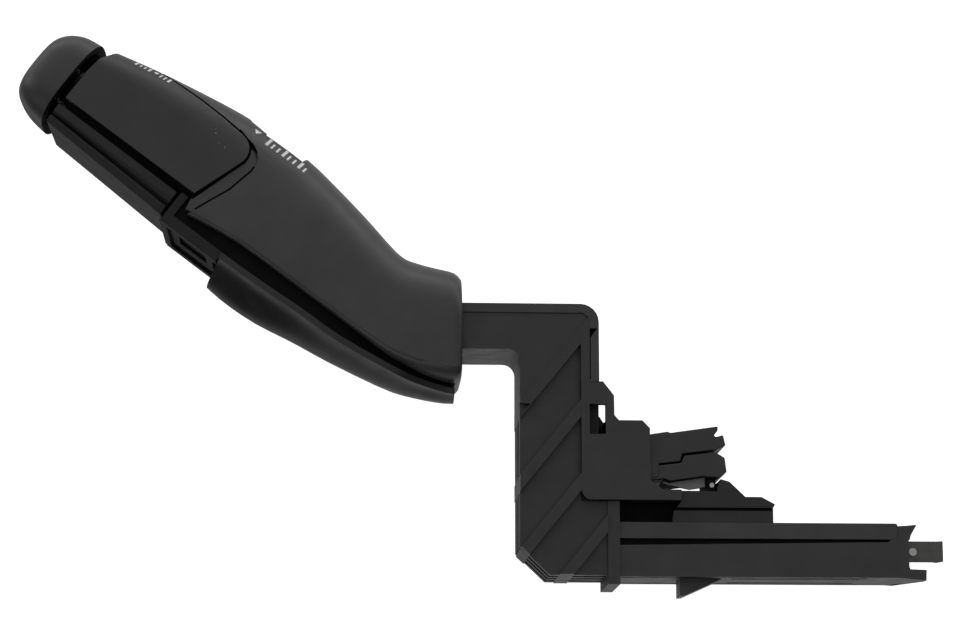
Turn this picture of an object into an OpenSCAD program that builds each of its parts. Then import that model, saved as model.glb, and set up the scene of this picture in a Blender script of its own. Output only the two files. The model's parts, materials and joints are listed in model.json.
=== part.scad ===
// Column stalk switch: a handle with keys, rocker, roller and end button, on a ribbed arm with a plug-in rail.
// X runs along the rail in its plug-in direction, Y towards the driver's side, Z out of the near key's side.
// The origin is the middle of the rail's section at the shoulder that stops it.

/* [Handle] */
// Angle of the handle below the line of the arm, in degrees
handle_angle = 37; // [35:0.5:39]
// Length of the handle from the end button's face to the middle of its base
handle_len = 97.1; // [96:0.5:104]
// Depth of the handle across its two side keys, at the tip
tip_depth = 21.4; // [21:0.1:23]
// Depth of the handle at its base
base_depth = 26; // [25.4:0.1:28]
// Height of the driver's face above the handle's axis at the roller
crown_h = 16.5; // [16.3:0.1:17.5]
// Wall of the handle's shells and keys
shell_wall = 1.8; // [1.5:0.1:2]
// Depth of the fairing on the handle's back
fairing_h = 4.7; // [3.5:0.1:6]

/* [Keys and rocker] */
// Place of the key's outer end along the handle
key_tip = 9.5; // [9.4:0.1:10.5]
// Lower edge of a side key, from the handle's axis
key_low = -4.5; // [-4.7:0.1:-4.3]
// Seam gap round a side key
key_gap = 0.35; // [0.3:0.05:0.5]
// Depth of the shallow ledge round a side key's rounded end
ledge_depth = 0.9; // [0.5:0.1:1.2]
// Diameter of a key's hinge pin
key_pin_d = 1.6; // [1.4:0.1:1.8]
// Length of the back rocker
rocker_len = 28.8; // [26:0.2:29]
// Depth of the back rocker across its side walls
rocker_depth = 20.6; // [20:0.1:20.8]
// Diameter of the rocker's pin
rocker_pin_d = 1.8; // [1.6:0.1:2]

/* [End button] */
// Depth of the end button's skirt
button_skirt = 8.1; // [7.8:0.1:8.1]
// Height of the end button across its rim
button_h = 19.9; // [19:0.1:20.4]
// Wall of the end button
button_wall = 1.6; // [1.2:0.1:1.9]
// Diameter of the end button's stem
stem_d = 6; // [5:0.2:6.4]
// Wire of the end button's spring
spring_wire = 0.6; // [0.4:0.05:0.8]
// Turns of the end button's spring
spring_turns = 5; // [4:1:6]

/* [Roller] */
// Diameter of the selector roller
roller_d = 14.8; // [14.2:0.1:15]
// Length of the selector roller
roller_len = 8.2; // [7.6:0.1:8.3]
// Flutes round the roller
roller_flutes = 20; // [16:1:24]
// Diameter of the roller's axle
axle_d = 3; // [2.4:0.1:3.4]
// Angle between two positions of the roller, in degrees
detent_step = 28; // [24:1:30]

/* [Arm] */
// Depth of the arm across its two faces
arm_depth = 18.6; // [18:0.1:19.4]
// Height of the arm's top edge over the origin
arm_top = 46.5; // [45:0.5:50]
// Height of the bar that carries the handle
bar_h = 8.9; // [8.5:0.1:9.5]
// Left side of the upright leg
leg_left = -19.8; // [-21:0.2:-19]
// Right side of the upright leg
leg_right = -4.6; // [-4.8:0.1:-4.5]
// Pitch of the diagonal ribs up the leg
rib_pitch = 14.15; // [13:0.1:15]
// Width of a diagonal rib
rib_w = 2.1; // [1.6:0.1:2.6]
// Slope of the diagonal ribs, in degrees
rib_angle = 51; // [48:1:54]
// Depth of the panels between the ribs
panel_depth = 1.8; // [1.2:0.1:2]
// Step from the ribs down to the bar's face
bar_step = 0.35; // [0.2:0.05:0.6]
// Depth of the grooves round the leg's edge
groove_depth = 4; // [3:0.2:5]
// Width of a groove round the leg's edge
groove_w = 2; // [1.6:0.1:2.2]
// Thickness of the duct cover on the outer corner
cover_t = 1.8; // [1.5:0.1:1.8]

/* [Rail and plug] */
// Length of the slide rail from its shoulder to its end wall
rail_len = 54.7; // [53:0.5:60]
// Depth of the rail across its faces
rail_depth = 15.2; // [14.8:0.1:15.4]
// Height of the rail's lower body under the cable slot
rail_body_h = 7.3; // [7:0.1:7.6]
// Height of the rail's cover
rail_cover_h = 3.1; // [2.8:0.1:3.4]
// Thickness of the shoulder plate
shoulder_t = 2.3; // [2:0.1:2.6]
// Length of the contact blades beyond the end wall
blade_out = 6.9; // [6:0.1:8]
// Width of a contact blade
blade_w = 4; // [3.6:0.1:4.2]
// Thickness of a contact blade
blade_t = 0.8; // [0.6:0.1:1]
// Reach of the forks from the mount housing
fork_out = 14.6; // [13:0.2:16]
// Tilt of the forks, in degrees
fork_tilt = 7; // [5:0.5:8]
// Wall of the mount housing
mount_wall = 1.8; // [1.5:0.1:1.9]
// Width of the window in the mount housing
window_w = 3.1; // [2.8:0.1:3.2]
// Height of the window in the mount housing
window_h = 5.8; // [5:0.1:6]

/* [Inside] */
// Thickness of the circuit board
board_t = 1.2; // [1:0.1:1.6]
// Width of the ribbon cable
ribbon_w = 4.8; // [4:0.2:5]
// Thickness of the ribbon cable
ribbon_t = 0.3; // [0.2:0.05:0.4]
// Diameter of the two screws that hold the inner frame in the front shell
frame_screw_d = 2.2; // [2:0.1:2.4]
// Diameter of the screw that holds the handle on the arm
arm_screw_d = 3; // [2.6:0.1:3.2]

/* [Hidden] */
$fn = 48;
eps = 0.01;
seat_gap = 0.25;
run_gap = 0.05;

body_black = [0.10, 0.10, 0.105];
satin_black = [0.13, 0.13, 0.135];
deep_black = [0.06, 0.06, 0.065];
inner_grey = [0.20, 0.20, 0.21];
board_green = [0.05, 0.22, 0.12];
contact_silver = [0.78, 0.79, 0.80];
steel_grey = [0.55, 0.56, 0.58];
ribbon_buff = [0.72, 0.70, 0.62];

// Places along the arm
arm_mid = arm_top - bar_h / 2;
arm_low = arm_top - bar_h;
grip_end = -31;
tongue_end = -46;
tongue_root = -33;
tongue_depth = arm_depth - 7;
leg_foot = -5.6;
leg_chamfer_x = -14.1;
leg_chamfer_y = -0.2;
shoulder_x = -0.8;
foot_right = shoulder_x - shoulder_t;
seat_depth = 1.4;
seat_x = shoulder_x - seat_depth;
seat_play = 0.1;
wall_t = 3.5;
mount_low = 8.6;
mount_top = 31.2;
post_low = -7.4;
post_depth = rail_depth + 1.2;

// The handle's own frame: s runs from the end button to the base, t towards the driver, z as on the arm
base_rise = 7.3;
handle_at = [
  grip_end - handle_len * cos(handle_angle) - base_rise * sin(handle_angle),
  arm_mid + handle_len * sin(handle_angle) - base_rise * cos(handle_angle)
];

function to_arm(p) = [
  handle_at[0] + p[0] * cos(handle_angle) + p[1] * sin(handle_angle),
  handle_at[1] - p[0] * sin(handle_angle) + p[1] * cos(handle_angle)
];

function to_handle(x, y) = [
  handle_len + x * cos(handle_angle) - y * sin(handle_angle),
  base_rise + x * sin(handle_angle) + y * cos(handle_angle)
];

module on_handle() {
  translate([handle_at[0], handle_at[1], 0]) rotate([0, 0, -handle_angle]) children();
}

// A section drawn in z and t, run along the handle from place s
module along_handle(s, length) {
  translate([s, 0, 0]) rotate([0, -90, 180]) mirror([0, 1, 0]) linear_extrude(height = length) children();
}

function mix(a, b, f) = a + (b - a) * f;

// Smooth curve through the stations of a table, at place k
function spline(a, b, c, d, f) =
  0.5 * (2 * b + (c - a) * f + (2 * a - 5 * b + 4 * c - d) * f * f + (3 * b - a - 3 * c + d) * f * f * f);

function at_station(table, k) =
  let (n = len(table), i = max(0, min(floor(k), n - 2)))
  spline(table[max(i - 1, 0)], table[i], table[i + 1], table[min(i + 2, n - 1)], k - i);

// Points of an arc round c, from angle a to angle b
function arc(c, r, a, b, steps = 6) =
  [for (i = [0:steps]) c + r * [cos(mix(a, b, i / steps)), sin(mix(a, b, i / steps))]];

// Skins one ring of points to the next, with a flat face at each end
module loft(rings) {
  n = len(rings[0]);
  m = len(rings);
  sides = [
    for (j = [0:m - 2], i = [0:n - 1])
      let (a = j * n + i, b = j * n + (i + 1) % n)
      each [[a, b, b + n], [a, b + n, a + n]]
  ];
  first = [[for (i = [n - 1:-1:0]) i]];
  last = [[for (i = [0:n - 1]) (m - 1) * n + i]];
  polyhedron(points = [for (r = rings) each r], faces = concat(first, sides, last), convexity = 8);
}

// Stations of the handle: crown point s and t, back edge s and t, half depth, depth of the rounded crown,
// width and height of the turn under the side. The straight part is measured from the end button, the bent
// base from the end of the handle.
function base_station(x1, y1, x2, y2, sizes) = concat(to_handle(x1, y1), to_handle(x2, y2), sizes);

// Place along the handle's tail, as a share of the way from the roller to the end
tail_start = 54;

function tail(f) = mix(tail_start, handle_len, f);

tip_half = tip_depth / 2;
base_half = base_depth / 2;
turn_w = 1.2;
turn_h = 1.2;
grip_table = [
  [key_tip, crown_h - 6.1, key_tip, -8.8, tip_half, 7, turn_w, turn_h],
  [20, crown_h - 3.6, 20, -8.8, mix(tip_half, base_half, 0.15), 8.5, turn_w, turn_h],
  [30, crown_h - 1.7, 30, -8.8, mix(tip_half, base_half, 0.3), 10.5, turn_w, turn_h],
  [38, crown_h - 0.5, 38, -8.8, mix(tip_half, base_half, 0.45), 12, turn_w, turn_h],
  [46, crown_h, 46, -7.4, mix(tip_half, base_half, 0.6), 13, turn_w, turn_h],
  [54, crown_h - 0.1, 54, -6.5, mix(tip_half, base_half, 0.75), 13.4, turn_w, turn_h],
  [tail(0.186), crown_h - 1.2, tail(0.209), -6.4, mix(tip_half, base_half, 0.88), 13, turn_w, turn_h],
  [tail(0.371), crown_h - 2.6, tail(0.441), -6.4, base_half, 12.5, turn_w, turn_h],
  [tail(0.51), crown_h - 3.9, tail(0.65), -6.3, base_half + 0.1, 12, turn_w + 0.2, turn_h],
  base_station(-11, 14.4, -14.6, -5.9, [base_half + 0.1, 11.5, 0.17 * base_half, turn_h + 0.3]),
  base_station(-8.2, 13.3, -10.1, -8.2, [base_half, 11.5, 0.29 * base_half, turn_h + 0.6]),
  base_station(-5.1, 12.5, -5.7, -9.9, [base_half - 0.1, 11.5, 0.43 * base_half, turn_h + 0.8]),
  base_station(-1.4, 11.6, -1.2, -10.7, [base_half - 0.3, 11.5, 0.51 * base_half, turn_h + 0.9]),
  base_station(0, 10.3, 0, -10, [base_half - 1.3, 10.5, 0.46 * base_half, turn_h + 0.9])
];
grip_last = len(grip_table) - 1;

// One ring of the handle. The outer skin turns under at its lower edge. The inner one is drawn in by inset
// and runs on out of the open back.
function grip_ring(k, inset, steps) =
  let (
    st = at_station(grip_table, k),
    top = [st[0], st[1]],
    back = [st[2], st[3]],
    h = norm(top - back),
    u = (top - back) / h,
    w = st[4] - inset,
    c = st[5] - inset,
    tw = max(st[6] - inset, 0.1),
    th = max(st[7] - inset, 0.1),
    open_w = st[4] - st[6] - 0.75,
    turn = [for (a = [0:30:90]) [inset + th * (1 - cos(a)), w - tw + tw * sin(a)]],
    low = inset > 0 ? concat([[-4, open_w]], [[inset, open_w]], turn) : turn,
    high = [
      for (i = [0:steps - 1])
        let (a = 90 * i / steps)
        [h - inset - c + c * pow(sin(a), 0.8), w * pow(cos(a), 0.8)]
    ],
    half = concat(low, high),
    n = len(half),
    ring = concat(half, [[h - inset, 0]], [for (i = [n - 1:-1:0]) [half[i][0], -half[i][1]]])
  )
  [for (p = ring) [back[0] + u[0] * p[0], back[1] + u[1] * p[0], p[1]]];

module grip_solid(from, to, inset, steps, count) {
  loft([for (i = [0:count]) grip_ring(mix(from, to, i / count), inset, steps)]);
}

// Half depth of the handle at place s on its straight part
function half_at(s) = mix(tip_half, base_half, (s - key_tip) / 62);

// Side keys
key_end = 44.6;
key_corner_r = 3.8;
key_top = 11.2;
key_pivot_s = 12.2;
key_pivot_z = 7.4;
key_pin_low = -3;
key_stem_s = 36;
key_stem_t = 1;
key_stem_r = 1.1;
key_seam = 1.2;
key_stem_z = 8.6;

// Outline of a side key, grown by g all round
module key_outline(g) {
  corner = [key_end - key_corner_r, key_top - key_corner_r];
  polygon(concat(
    [[key_tip - g, key_low - g], [key_end - 3.6 + g, key_low - g]],
    arc(corner, key_corner_r + g, -8, 84),
    [[36, 11.7 + g], [30, 12 + g], [21, 12 + g], [17.5, 12.7 + g], [15, 15 + g]],
    [[key_tip + 2 - g, 15 + g], [key_tip + 1.1 - g, 8.5], [key_tip + 0.3 - g, 6.4], [key_tip - g, 3]]
  ));
}

// Shallow ledge round the key's rounded end
module ledge_outline() {
  polygon(concat(
    [[41.4, -9.6], [43.2, -6.5], [44.4, -3.4], [46.1, 0.7]],
    arc([42.4, 6.4], 4.8, -22, 88),
    [[39.9, 11.9], [36, 0]]
  ));
}

module key() {
  lug_r = key_pin_d / 2 + 0.7;
  lug_low = rail_high + seat_gap;
  lug_h = ear_high - seat_gap - lug_low;
  difference() {
    union() {
      intersection() {
        difference() {
          grip_solid(0, 4.8, 0, 12, 16);
          translate([-eps, 0, 0]) grip_solid(-0.1, 4.9, shell_wall, 6, 8);
        }
        translate([0, 0, key_seam / 2]) linear_extrude(height = base_half) key_outline(0);
      }
      translate([key_pivot_s, lug_low, key_pivot_z]) rotate([-90, 0, 0]) cylinder(r = lug_r, h = lug_h);
      translate([key_pivot_s - lug_r, lug_low, key_pivot_z])
        cube([2 * lug_r, lug_h, tip_half - key_pivot_z - 0.6]);
      translate([key_stem_s, key_stem_t, key_stem_z])
        cylinder(r = key_stem_r, h = half_at(key_stem_s) - key_stem_z - 0.6);
    }
    translate([key_pivot_s, lug_low - 1, key_pivot_z]) rotate([-90, 0, 0])
      cylinder(d = key_pin_d + 2 * run_gap, h = lug_h + 2);
  }
}

// Selector roller
roller_s = 44.4;
roller_r = roller_d / 2;
roller_t = 7.6;
detent_r = 5;
detent_t = 1.2;
scoop_floor = 14.8;
opening_half = roller_r + 0.5;

module front_shell() {
  color(satin_black) on_handle() difference() {
    union() {
      difference() {
        grip_solid(0.62, grip_last, 0, 12, 38);
        difference() {
          grip_solid(0.4, grip_last, shell_wall, 7, 18);
          base_block(shell_wall);
        }
        roller_scoop();
      }
      intersection() {
        scoop_pan();
        grip_solid(3.5, 5.9, 0.4, 6, 4);
      }
      shell_bosses(0);
    }
    roller_scoop();
    translate([roller_s - 0.5, 4, -opening_half]) cube([roller_len + 0.9, 20, 2 * opening_half]);
    for (side = [0, 1]) mirror([0, 0, side]) {
      difference() {
        translate([0, 0, half_at(44) / 2]) linear_extrude(height = base_half) ledge_outline();
        grip_solid(3.2, 5.6, ledge_depth, 10, 8);
      }
      translate([0, 0, -eps]) linear_extrude(height = base_half + 2) key_outline(key_gap);
    }
    tip_cutaway();
    arm_opening();
    frame_screw_holes(frame_screw_d - 0.2);
    latches(seat_gap / 2);
  }
}

// What lies within d of the handle's base face
module base_block(d) {
  p = to_handle(0, 0);
  translate([p[0], p[1], 0]) rotate([0, 0, handle_angle]) translate([-d, -30, -30]) cube([60, 60, 60]);
}

module arm_opening() {
  p = to_handle(0, 0);
  translate([p[0], p[1], 0]) rotate([0, 0, handle_angle])
    translate([-6, -bar_h / 2 - 0.1, -arm_depth / 2 - 0.1]) cube([12, bar_h + 0.2, arm_depth + 0.2]);
}

// Clears the shell from the part of the handle that the rocker takes
module tip_cutaway() {
  translate([0, 0, -30]) linear_extrude(height = 60)
    polygon([[0, key_low - 0.1], [41, key_low - 0.1], [41.8, -9.3], [41.8, -20], [0, -20]]);
}

module roller_scoop() {
  translate([0, 0, -30]) linear_extrude(height = 60)
    polygon([
      [36.6, crown_h + 3], [37.4, 16.4], [40.2, scoop_floor + 0.4], [43.4, scoop_floor],
      [52.5, scoop_floor + 0.3], [53.1, 16.3], [53.4, crown_h + 3]
    ]);
}

module scoop_pan() {
  translate([40, scoop_floor - 2, -8.6]) cube([14.4, 4, 17.2]);
}

// Screws that hold the inner frame on bosses inside the front shell
frame_screw_s = tail(0.464);
frame_screw_z = 4.4;
boss_low = -2.8;
boss_r = 1.8;

module shell_bosses(g) {
  for (side = [-1, 1])
    translate([frame_screw_s, boss_low, side * frame_screw_z]) rotate([-90, 0, 0])
      cylinder(r = boss_r + g, h = crown_h - 2.3);
}

module frame_screw_holes(d) {
  for (side = [-1, 1])
    translate([frame_screw_s, -8, side * frame_screw_z]) rotate([-90, 0, 0]) cylinder(d = d, h = 13.2);
}

latch_t = -5.7;

// Latches on the rear shell's inner wall, which snap into pockets of the front shell, with play g round them
module latches(g) {
  for (side = [0, 1], place = [[tail(0.093), 0.9, 5], [tail(0.557), 0.97, 4]])
    mirror([0, 0, side])
      translate([place[0] - g, latch_t - g, mix(tip_half, base_half, place[1]) - shell_wall - 1.9])
      cube([place[2] + 2 * g, 0.9 + 2 * g, 2.3 + g]);
}

// Stations of the rear shell: edge s and t, tilt of the section, bulge of the fairing, half depth, and rise
// of the inner wall
rear_table = [
  [52.4, -9.8, 0, fairing_h - 0.3, half_at(51) - 0.3, 5],
  [tail(0.07), -9.8, 0, fairing_h, half_at(56) - 0.2, 5],
  [tail(0.232), -9.6, 1, fairing_h - 0.2, mix(tip_half, base_half, 0.88) - 0.2, 5],
  [tail(0.418), -9.2, 3, fairing_h - 1.3, 0.98 * base_half, 5],
  [tail(0.603), -8.9, 7, fairing_h - 2.2, 0.92 * base_half, 5],
  concat(to_handle(-13.3, -8.1), [13, fairing_h - 2.8, 0.8 * base_half, 4]),
  concat(to_handle(-8.4, -10), [23, fairing_h - 3.2, 0.62 * base_half, 3]),
  concat(to_handle(-3.7, -11.2), [32, fairing_h - 3.5, 0.48 * base_half, 1.7]),
  concat(to_handle(-1.2, -11.6), [handle_angle, fairing_h - 3.8, 0.43 * base_half, 0.5])
];
rear_last = len(rear_table) - 1;
rear_lip = 1.2;
lap_in = 2.3;
lap_t = 1.2;

// One ring of the rear shell: the fairing's bulge below its edge, and the narrower inner wall above it
function rear_ring(k, steps) =
  let (
    st = at_station(rear_table, k),
    w = st[4],
    v = w - lap_in,
    bulge = [
      for (i = [0:steps])
        let (z = mix(w, -w, i / steps))
        [-(rear_lip + st[3] * pow(cos(90 * z / w), 2)), z]
    ]
  )
  on_station(st, concat([[0, -w], [0.3, -v], [st[5], -v], [st[5], v], [0.3, v], [0, w]], bulge));

function rear_hollow(k, steps) =
  let (
    st = at_station(rear_table, k),
    w = st[4] - rear_lip,
    v = st[4] - lap_in - lap_t,
    bulge = [for (i = [0:steps]) let (z = mix(v, -v, i / steps)) [-st[3] * pow(cos(90 * z / w), 2), z]]
  )
  on_station(st, concat([[st[5] + 2, -v], [st[5] + 2, v]], bulge));

function on_station(st, ring) = [
  for (i = [len(ring) - 1:-1:0])
    let (p = ring[i])
    [st[0] - sin(st[2]) * p[0], st[1] + cos(st[2]) * p[0], p[1]]
];

module rear_shell() {
  color(body_black) on_handle() {
    difference() {
      loft([for (i = [0:20]) rear_ring(rear_last * i / 20, 18)]);
      loft([for (i = [0:8]) rear_hollow(mix(0.25, rear_last - 0.35, i / 8), 8)]);
    }
    latches(0);
  }
}

module frame_screws() {
  head_t = 1.4;
  low = boss_low - cross_t;
  color(steel_grey) on_handle() for (side = [-1, 1])
    translate([frame_screw_s, low, side * frame_screw_z]) rotate([-90, 0, 0]) {
      translate([0, 0, -head_t]) difference() {
        cylinder(d = 3.6, h = head_t);
        for (turn = [0, 90]) rotate([0, 0, turn]) translate([-1.2, -0.25, -eps]) cube([2.4, 0.5, 0.8]);
      }
      cylinder(d = frame_screw_d - 0.2, h = 9);
    }
}

// Inner frame: two side rails, cross walls with the roller's bearings, the head with the stem's guide,
// ears for the hinge pins, and two cheeks that clasp the arm's tongue
rail_in = 6.8;
rail_out = 7.8;
rail_low = -4.4;
rail_high = -0.4;
board_low = -1.4 - board_t;
board_top = -1.4;
board_start = 14;
board_end = tail(0.371);
frame_start = 10;
head_end = 13.9;
rocker_pivot_s = 23.5;
rocker_pivot_t = -6.4;
arm_screw_x = -39.5;
cross_t = 1.6;
window_wall_s = 38.7;
window_wall_half = 10.2;
window_low = -11.9;
window_high = key_low - 0.4;
ear_t = 1.4;
ear_high = 3;

module inner_frame() {
  color(deep_black) on_handle() difference() {
    union() {
      for (side = [-1, 1]) {
        translate([frame_start, rail_low, side * (rail_in + rail_out) / 2 - (rail_out - rail_in) / 2])
          cube([tail(0.557) - frame_start, rail_high - rail_low, rail_out - rail_in]);
        translate([rocker_pivot_s - 1.6, rocker_pivot_t - 1.4, side * 3.55 - 0.75])
          cube([3.2, board_low - 0.2 - rocker_pivot_t + 1.4, 1.5]);
      }
      translate([frame_start, rail_low, -5.6]) cube([head_end - frame_start, 12.4, 11.2]);
      translate([frame_start, rail_low, -rail_in - eps])
        cube([head_end - frame_start, 1.4, 2 * rail_in + 2 * eps]);
      for (t = [rail_high - ear_t, ear_high], side = [-1, 1])
        translate([frame_start + 0.7, t, side * 7.05 - 1.55]) cube([3, ear_t, 3.1]);
      translate([rocker_pivot_s - 1.6, rail_low, -rail_in - eps])
        cube([3.2, board_low - 0.2 - rail_low, 2 * rail_in + 2 * eps]);
      bearing_wall(42.3, rail_out);
      bearing_wall(54.6, half_at(55) - shell_wall - seat_gap);
      translate([tail(0.232), rail_low, -rail_in - eps])
        cube([1.4, board_low - rail_low, 2 * rail_in + 2 * eps]);
      for (side = [-1, 1]) translate([52.6, rail_high - eps, side * 7.2 - 0.6]) cube([2.1, 3.2, 1.2]);
      frame_cheeks();
      for (side = [-1, 1])
        translate([rocker_s + 1.8, rail_low - 1.7, side * 7.35 - 0.4]) cube([25.3, 2, 0.8]);
      along_handle(window_wall_s, 1.6) polygon([
        [-window_wall_half, window_low], [window_wall_half, window_low],
        [window_wall_half, window_high], [rail_out, window_high],
        [rail_out, rail_low + 1.2], [-rail_out, rail_low + 1.2],
        [-rail_out, window_high], [-window_wall_half, window_high]
      ]);
      for (side = [0, 1]) mirror([0, 0, side]) {
        translate([window_wall_s + 0.3, window_low, 8.7]) cube([52.35 - window_wall_s - 0.3, 2.2, 2.75]);
        translate([window_wall_s + 0.3, window_low, 8.7])
          cube([52.35 - window_wall_s - 0.3, window_high - window_low, 0.9]);
      }
      translate([frame_screw_s - 2.4, boss_low - cross_t, -rail_in - eps])
        cube([4.8, cross_t, 2 * rail_in + 2 * eps]);
    }
    frame_screw_holes(frame_screw_d + 0.3);
    shell_bosses(seat_gap);
    translate([board_start, board_low, -rail_in - 0.2])
      cube([board_end - board_start, board_t, 2 * rail_in + 0.4]);
    translate([frame_start - 1, 0, 0]) rotate([0, 90, 0]) cylinder(d = stem_d + 2 * run_gap, h = 8);
    translate([40, roller_t, 0]) rotate([0, 90, 0]) cylinder(d = axle_d, h = 20);
    for (side = [-1, 1])
      translate([key_pivot_s, key_pin_low - 0.2, side * key_pivot_z]) rotate([-90, 0, 0])
        cylinder(d = key_pin_d, h = ear_high + ear_t - key_pin_low + 0.4);
    translate([rocker_pivot_s, rocker_pivot_t, -10]) cylinder(d = rocker_pin_d, h = 20);
    translate([52.7, 1.5, -7.3]) cube([1.2, 0.6, 14.6]);
  }
}

// Cross wall that carries the roller's axle, its upper corners cut to clear the crown
module bearing_wall(s, half) {
  top = roller_t + 3.2;
  along_handle(s, 1.4) polygon([
    [-half, rail_low], [half, rail_low], [half, 2.6], [half - 2.1, top], [2.1 - half, top], [-half, 2.6]
  ]);
}

// The cheeks, drawn in the arm's own directions round the screw
module frame_cheeks() {
  p = to_handle(0, 0);
  inner = tongue_depth / 2 + 0.1;
  for (side = [-1, 1]) difference() {
    translate([0, 0, side * (inner + rail_out) / 2 - (rail_out - inner) / 2])
      linear_extrude(height = rail_out - inner)
      polygon([
        [tail(0.371), rail_low], [tail(0.51), rail_low], to_handle(-13, -3.2), to_handle(-8, -3.8),
        to_handle(-3, -3.8), to_handle(-3, 4.2), to_handle(-12, 4.6), [tail(0.557), rail_high + 3],
        [tail(0.418), rail_high]
      ]);
    translate([p[0], p[1], 0]) rotate([0, 0, handle_angle]) translate([arm_screw_x - grip_end, 0, -20])
      cylinder(d = arm_screw_d + 0.2, h = 40);
  }
}

module arm_screw() {
  head_t = 1.5;
  color(steel_grey) translate([arm_screw_x, arm_mid, -rail_out]) {
    cylinder(d = arm_screw_d, h = 2 * rail_out);
    translate([0, 0, 2 * rail_out]) difference() {
      cylinder(d = 5.4, h = head_t);
      for (turn = [0, 90]) rotate([0, 0, turn]) translate([-1.4, -0.3, 0.7]) cube([2.8, 0.6, 1]);
    }
  }
}

module circuit_board() {
  color(board_green) on_handle()
    translate([board_start + 0.1, board_low, -rail_in - 0.1])
      cube([board_end - board_start - 0.2, board_t, 2 * rail_in + 0.2]);
}

// A small push switch on the board, its plunger up
module push_switch(h, travel) {
  translate([-1.9, -1.9, 0]) cube([3.8, 3.8, h]);
  translate([0, 0, h]) cylinder(d = 2, h = travel);
}

rocker_arm = 7.4;

module push_switches() {
  color(inner_grey) on_handle() {
    for (side = [-1, 1]) {
      translate([rocker_pivot_s + side * rocker_arm, board_low, 0]) rotate([90, 0, 0])
        push_switch(1.9, 0.6);
      translate([key_stem_s, board_top, 0]) mirror([0, 0, side < 0 ? 1 : 0]) {
        translate([-2, 0, 3.6]) cube([4, 3, 3]);
        translate([0, key_stem_t - board_top, 6.6]) cylinder(d = 2, h = 0.8);
      }
    }
    translate([head_end + 1.6, board_top, -2]) cube([3, 3, 4]);
    translate([head_end, 0, 0]) rotate([0, 90, 0]) cylinder(d = 2, h = 1.6);
  }
}

module near_key() {
  color(satin_black) on_handle() key();
}

module far_key() {
  color(satin_black) on_handle() mirror([0, 0, 1]) key();
}

module key_pins() {
  color(steel_grey) on_handle() for (side = [-1, 1])
    translate([key_pivot_s, key_pin_low, side * key_pivot_z]) rotate([-90, 0, 0])
      cylinder(d = key_pin_d, h = ear_high + ear_t - key_pin_low - 0.2);
}

// Back rocker: a bar with a scooped neck, hollow towards the handle
rocker_s = 9.2;
rocker_top = -5.45;
rocker_low = -11;
neck_t = -8.1;
hollow_half = 8;

module rocker_section() {
  half = rocker_depth / 2;
  difference() {
    polygon([
      [-half, rocker_top], [half, rocker_top], [half, -9],
      [half - 1.4, rocker_low], [1.4 - half, rocker_low], [-half, -9]
    ]);
    for (side = [-1, 1]) translate([side * (half + 0.5), neck_t]) circle(r = 1.5, $fn = 32);
    translate([-hollow_half, -8.6]) square([2 * hollow_half, 6]);
  }
}

module rear_rocker() {
  nub_top = -5.5;
  color(satin_black) on_handle() difference() {
    union() {
      difference() {
        along_handle(rocker_s, rocker_len) rocker_section();
        translate([0, 0, -20]) linear_extrude(height = 40)
          polygon([
            [0, -9.5], [rocker_s, -9.5], [rocker_s + rocker_len, -10.7], [60, -11.6], [60, -20], [0, -20]
          ]);
      }
      for (s = [rocker_s, rocker_s + rocker_len - 1.3])
        translate([s, -8.8, -hollow_half - 0.2]) cube([1.3, 8.8 + rocker_top, 2 * hollow_half + 0.4]);
      for (side = [-1, 1]) {
        translate([rocker_pivot_s - 1.7, -8.7, side * 5.45 - 0.75]) cube([3.4, 3.5, 1.5]);
        translate([rocker_pivot_s + side * rocker_arm, -8.7, 0]) rotate([-90, 0, 0])
          cylinder(r = 1.2, h = nub_top + 8.7);
      }
    }
    translate([rocker_pivot_s, rocker_pivot_t, -7]) cylinder(d = rocker_pin_d + 2 * run_gap, h = 14);
  }
}

module rocker_pin() {
  color(steel_grey) on_handle() translate([rocker_pivot_s, rocker_pivot_t, -6.2])
    cylinder(d = rocker_pin_d, h = 12.4);
}

// Stations of the end button: place, low edge, high edge, half depth
button_half = button_h / 2;
button_round = 0.68;
button_points = 48;
button_table = [
  [-0.6, 3.6 - button_half, button_half - 5.4, tip_half - 3.4],
  [-0.3, 2.6 - button_half, button_half - 4, tip_half - 2.3],
  [0.6, 1.7 - button_half, button_half - 2.7, tip_half - 1.3],
  [2.2, 0.9 - button_half, button_half - 1.4, tip_half - 0.5],
  [4.4, 0.3 - button_half, button_half - 0.5, tip_half - 0.05],
  [button_skirt - 0.6, -0.05 - button_half, button_half - 0.1, tip_half + 0.1]
];

function button_ring(st, inset, s) = [
  for (i = [0:button_points - 1])
    let (
      a = -360 * i / button_points,
      c = cos(a),
      d = sin(a),
      t = (st[1] + st[2]) / 2 + ((st[2] - st[1]) / 2 - inset) * sign(c) * pow(abs(c), button_round),
      z = (st[3] - inset) * sign(d) * pow(abs(d), button_round)
    )
    [s, t, z]
];

module end_button() {
  color(body_black) on_handle() {
    difference() {
      loft([for (i = [0:15]) let (st = at_station(button_table, i / 3)) button_ring(st, 0, st[0])]);
      loft([
        for (i = [2:5])
          button_ring(button_table[i], button_wall, button_table[i][0] + (i < 5 ? button_wall : 1))
      ]);
    }
    translate([1.4, 0, 0]) rotate([0, 90, 0]) cylinder(d = stem_d, h = 11.2);
  }
}

// Coil spring round the stem, between the end button and the frame's head
spring_from = 2.2;
spring_to = frame_start;

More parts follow.
